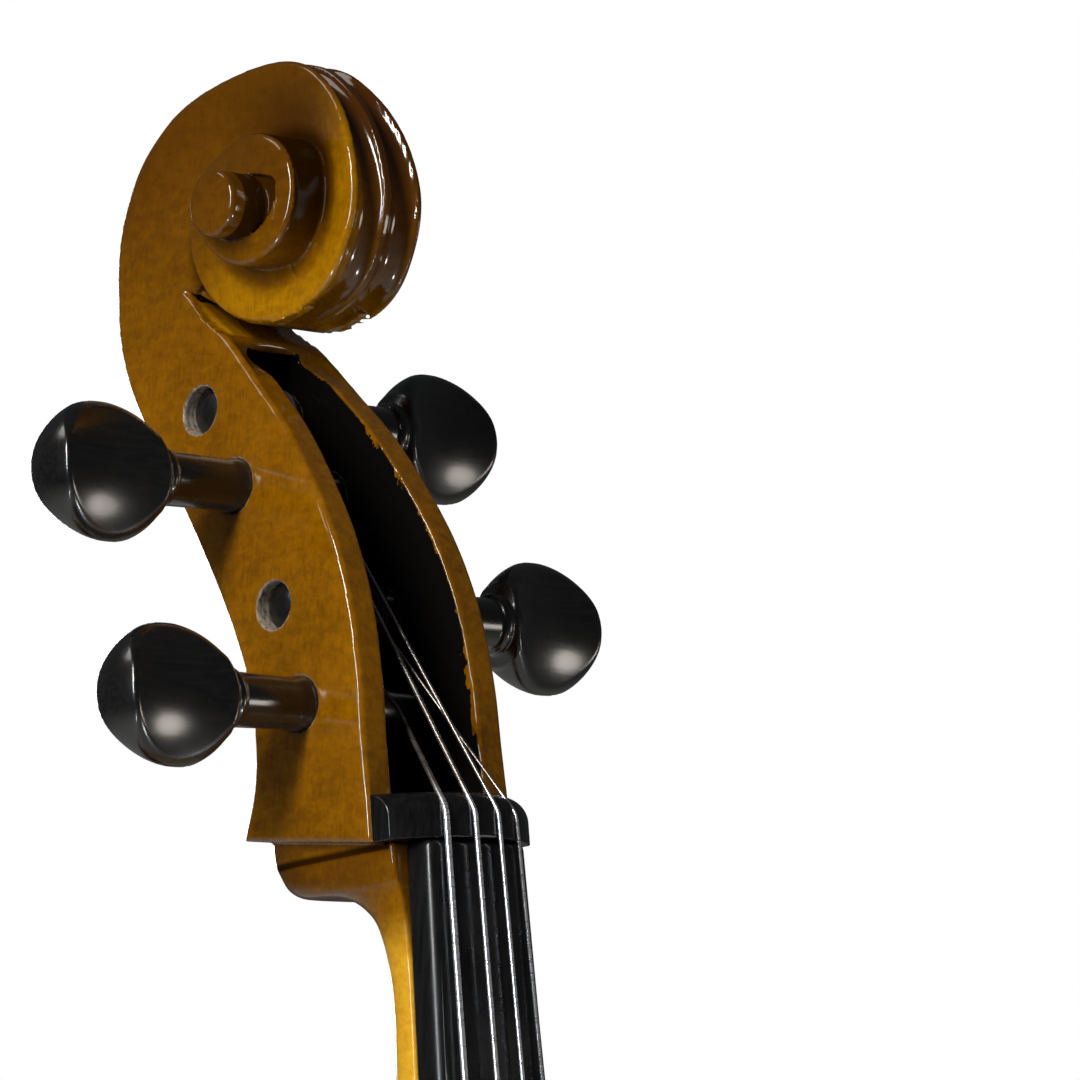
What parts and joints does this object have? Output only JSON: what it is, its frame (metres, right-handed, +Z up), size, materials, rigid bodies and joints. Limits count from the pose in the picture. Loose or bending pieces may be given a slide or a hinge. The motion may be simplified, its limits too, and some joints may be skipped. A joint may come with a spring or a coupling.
{
  "type": "cello",
  "caption": "Full-size cello with carved scroll, friction pegs, arched plates with sound holes, bridge, tailpiece with built-in fine tuners and sliding endpin.",
  "frame": {"origin": "on the endpin's axis, at the lower end of its ferrule, where the steel point begins, with the endpin pushed in", "axes": "+Z up along the body, -Y towards the strings' side, +X towards the treble side"},
  "size_m": [0.436, 0.2643, 1.3043],
  "materials": {
    "varnished_maple": "glossy amber-brown varnish over flamed maple",
    "varnished_spruce": "glossy amber-brown varnish over straight-grained spruce",
    "bare_spruce": "unvarnished",
    "purfling": "dark inlay under varnish",
    "bridge_maple": "fine-sanded",
    "peg_ebony": "polished",
    "ebony": "satin",
    "tailpiece_black": "satin composite",
    "string_silk": "purple silk winding",
    "string_steel": "flat-wound",
    "brass": "polished",
    "nickel": "nickel-plated",
    "black_steel": "blackened",
    "polished_steel": "polished",
    "tailgut": "smooth cord"
  },
  "bodies": {
    "root": {"back_plate": "varnished_maple", "bass_bar": "bare_spruce", "bridge": "bridge_maple", "corner_block_lower_left": "bare_spruce", "corner_block_lower_right": "bare_spruce", "corner_block_upper_left": "bare_spruce", "corner_block_upper_right": "bare_spruce", "endpin_plug": "ebony", "fingerboard": "ebony", "lining_back": "bare_spruce", "lining_front": "bare_spruce", "lower_block": "bare_spruce", "neck_and_scroll": "varnished_maple", "nut": "ebony", "purfling_back": "purfling", "purfling_top": "purfling", "rib_lower_left": "varnished_maple", "rib_lower_right": "varnished_maple", "rib_upper_left": "varnished_maple", "rib_upper_right": "varnished_maple", "rib_waist_left": "varnished_maple", "rib_waist_right": "varnished_maple", "saddle": "ebony", "sound_post": "bare_spruce", "string_a": "string_steel", "string_c": "string_steel", "string_d": "string_steel", "string_g": "string_steel", "tailgut": "tailgut", "tailpiece": "tailpiece_black", "top_plate": "varnished_spruce", "tuner_axle": "black_steel", "upper_block": "bare_spruce"},
    "endpin": {"endpin_rod": "polished_steel", "endpin_ferrule": "nickel", "endpin_point": "polished_steel"},
    "thumbscrew": {"thumbscrew": "nickel"},
    "peg_c": {"peg_c": "peg_ebony", "winding_c": "string_silk"},
    "tuner_screw_c": {"tuner_screw_c": "nickel"},
    "tuner_lever_c": {"tuner_lever_c": "black_steel", "string_ball_c": "brass"},
    "peg_g": {"peg_g": "peg_ebony", "winding_g": "string_silk"},
    "tuner_screw_g": {"tuner_screw_g": "nickel"},
    "tuner_lever_g": {"tuner_lever_g": "black_steel", "string_ball_g": "brass"},
    "peg_d": {"peg_d": "peg_ebony", "winding_d": "string_silk"},
    "tuner_screw_d": {"tuner_screw_d": "nickel"},
    "tuner_lever_d": {"tuner_lever_d": "black_steel", "string_ball_d": "brass"},
    "peg_a": {"peg_a": "peg_ebony", "winding_a": "string_silk"},
    "tuner_screw_a": {"tuner_screw_a": "nickel"},
    "tuner_lever_a": {"tuner_lever_a": "black_steel", "string_ball_a": "brass"}
  },
  "joints": [
    {"name": "endpin_slide", "type": "slide", "parent": "root", "child": "endpin", "axis": [0, 0, -1], "range_m": [0, 0.34]},
    {"name": "thumbscrew_turn", "type": "hinge", "parent": "root", "child": "thumbscrew", "pos_m": [0, 0.02, 0.052], "axis": [0, -1, 0], "range_deg": [-720, 0]},
    {"name": "peg_c_turn", "type": "hinge", "parent": "root", "child": "peg_c", "pos_m": [0, -0.00873, 1.12899], "axis": [1, 0, 0], "range_deg": [-90, 810]},
    {"name": "tuner_screw_c_turn", "type": "hinge", "parent": "root", "child": "tuner_screw_c", "pos_m": [-0.021, -0.13794, 0.27127], "axis": [0, 0.9683, 0.25], "range_deg": [0, 1440]},
    {"name": "tuner_lever_c_tilt", "type": "hinge", "parent": "root", "child": "tuner_lever_c", "pos_m": [-0.021, -0.13521, 0.2947], "axis": [1, 0, 0], "range_deg": [0, 8]},
    {"name": "peg_g_turn", "type": "hinge", "parent": "root", "child": "peg_g", "pos_m": [0, 0.0215, 1.1818], "axis": [1, 0, 0], "range_deg": [-90, 810]},
    {"name": "tuner_screw_g_turn", "type": "hinge", "parent": "root", "child": "tuner_screw_g", "pos_m": [-0.007, -0.13794, 0.27127], "axis": [0, 0.9683, 0.25], "range_deg": [0, 1440]},
    {"name": "tuner_lever_g_tilt", "type": "hinge", "parent": "root", "child": "tuner_lever_g", "pos_m": [-0.007, -0.13521, 0.2947], "axis": [1, 0, 0], "range_deg": [0, 8]},
    {"name": "peg_d_turn", "type": "hinge", "parent": "root", "child": "peg_d", "pos_m": [0, 0.03718, 1.20081], "axis": [1, 0, 0], "range_deg": [-90, 810]},
    {"name": "tuner_screw_d_turn", "type": "hinge", "parent": "root", "child": "tuner_screw_d", "pos_m": [0.007, -0.13794, 0.27127], "axis": [0, 0.9683, 0.25], "range_deg": [0, 1440]},
    {"name": "tuner_lever_d_tilt", "type": "hinge", "parent": "root", "child": "tuner_lever_d", "pos_m": [0.007, -0.13521, 0.2947], "axis": [1, 0, 0], "range_deg": [0, 8]},
    {"name": "peg_a_turn", "type": "hinge", "parent": "root", "child": "peg_a", "pos_m": [0, 0.00273, 1.15255], "axis": [1, 0, 0], "range_deg": [-90, 810]},
    {"name": "tuner_screw_a_turn", "type": "hinge", "parent": "root", "child": "tuner_screw_a", "pos_m": [0.021, -0.13794, 0.27127], "axis": [0, 0.9683, 0.25], "range_deg": [0, 1440]},
    {"name": "tuner_lever_a_tilt", "type": "hinge", "parent": "root", "child": "tuner_lever_a", "pos_m": [0.021, -0.13521, 0.2947], "axis": [1, 0, 0], "range_deg": [0, 8]}
  ],
  "couplings": [
    {"joint": "tuner_lever_c_tilt", "follows": "tuner_screw_c_turn", "ratio": 0.0055556},
    {"joint": "tuner_lever_g_tilt", "follows": "tuner_screw_g_turn", "ratio": 0.0055556},
    {"joint": "tuner_lever_d_tilt", "follows": "tuner_screw_d_turn", "ratio": 0.0055556},
    {"joint": "tuner_lever_a_tilt", "follows": "tuner_screw_a_turn", "ratio": 0.0055556}
  ]
}
